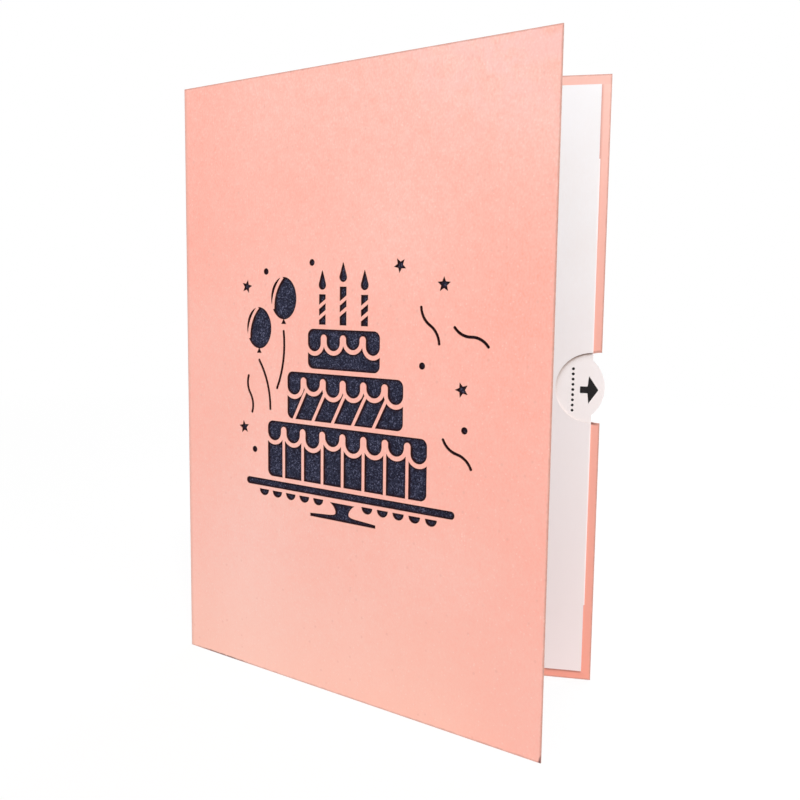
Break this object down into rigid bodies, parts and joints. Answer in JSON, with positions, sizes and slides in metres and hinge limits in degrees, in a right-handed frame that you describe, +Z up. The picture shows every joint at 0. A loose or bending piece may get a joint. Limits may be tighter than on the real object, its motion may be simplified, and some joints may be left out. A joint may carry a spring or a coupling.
{
  "type": "greeting card",
  "caption": "Folded pearl card standing half open, with a picture cut through its front panel over a dark lining and a message slip in a thumb-cut pocket.",
  "frame": {"origin": "foot of the spine fold, on the surface the card stands on, half way through the card", "axes": "+Z up the spine fold; the front panel runs along +X and faces -Y; the back panel is turned from it by the opening angle"},
  "size_m": [0.13, 0.0568, 0.18],
  "materials": {
    "cover_card": "pearl card, fine fibre and a soft sheen",
    "liner_paper": "navy, finely flecked",
    "pocket_paper": "matt off-white",
    "slip_card": "matt white",
    "adhesive": "double-sided adhesive strip"
  },
  "bodies": {
    "root": {"cover": "cover_card", "front_liner": "liner_paper", "pocket_sheet": "pocket_paper", "message_slip": "slip_card", "top_glue_strip": "adhesive", "bottom_glue_strip": "adhesive", "spine_glue_strip": "adhesive"}
  },
  "joints": []
}
